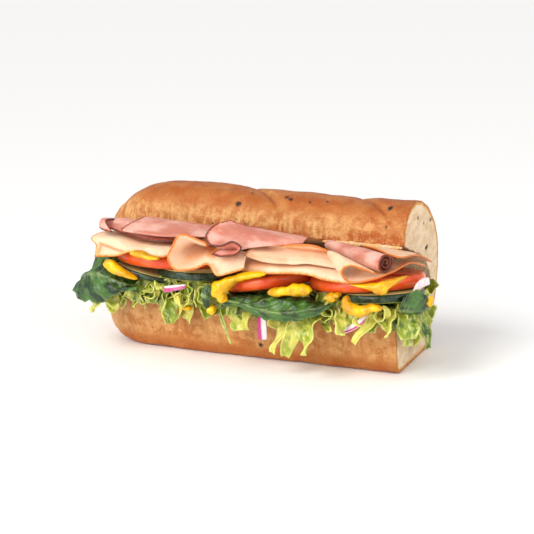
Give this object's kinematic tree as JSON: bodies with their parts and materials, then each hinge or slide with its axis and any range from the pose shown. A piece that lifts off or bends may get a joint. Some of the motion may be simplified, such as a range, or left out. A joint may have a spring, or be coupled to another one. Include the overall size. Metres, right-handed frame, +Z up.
{
  "type": "submarine sandwich",
  "caption": "Hinge-cut submarine sandwich, one half of a long roll, open at the front and cut end, filled with shredded lettuce, leaves, vegetable slices and folded cold meats.",
  "frame": {"origin": "on the flat underside of the roll, at the middle of its length", "axes": "+X along the roll towards the cut end, +Y towards the hinge at the back, so the open front faces -Y, +Z up"},
  "size_m": [0.1716, 0.0851, 0.0743],
  "materials": {
    "bread": "golden brown baked crust, dry, with a pale crumb on the cut faces",
    "lettuce_leaf": "moist yellow-green shreds",
    "spinach_leaf": "dark green, softly shining",
    "onion_flesh": "pale flesh with a magenta rim, moist",
    "cucumber_flesh": "dark green rind, pale moist flesh",
    "tomato_flesh": "orange-red, moist",
    "mustard_sauce": "bright yellow sauce",
    "turkey_meat": "pale cream with a thin orange-brown edge",
    "ham_meat": "pink with a thin dark brown edge, slightly moist"
  },
  "bodies": {
    "root": {"roll": "bread", "lettuce": "lettuce_leaf", "spinach_left": "spinach_leaf", "spinach_middle": "spinach_leaf", "spinach_right": "spinach_leaf", "spinach_small": "spinach_leaf", "onion_left": "onion_flesh", "onion_strip": "onion_flesh", "onion_curve": "onion_flesh", "onion_end": "onion_flesh", "onion_drop": "onion_flesh", "cucumber_left": "cucumber_flesh", "cucumber_middle": "cucumber_flesh", "cucumber_right": "cucumber_flesh", "tomato_left": "tomato_flesh", "tomato_middle": "tomato_flesh", "tomato_right": "tomato_flesh", "mustard_left": "mustard_sauce", "mustard_upper_left": "mustard_sauce", "mustard_middle": "mustard_sauce", "mustard_right_of_middle": "mustard_sauce", "mustard_right": "mustard_sauce", "mustard_drop": "mustard_sauce", "turkey_left": "turkey_meat", "turkey_fold": "turkey_meat", "turkey_upper": "turkey_meat", "turkey_lower": "turkey_meat", "turkey_cone": "turkey_meat", "turkey_back": "turkey_meat", "ham_loop": "ham_meat", "ham_flap": "ham_meat", "ham_curl": "ham_meat", "ham_roll": "ham_meat"}
  },
  "joints": []
}
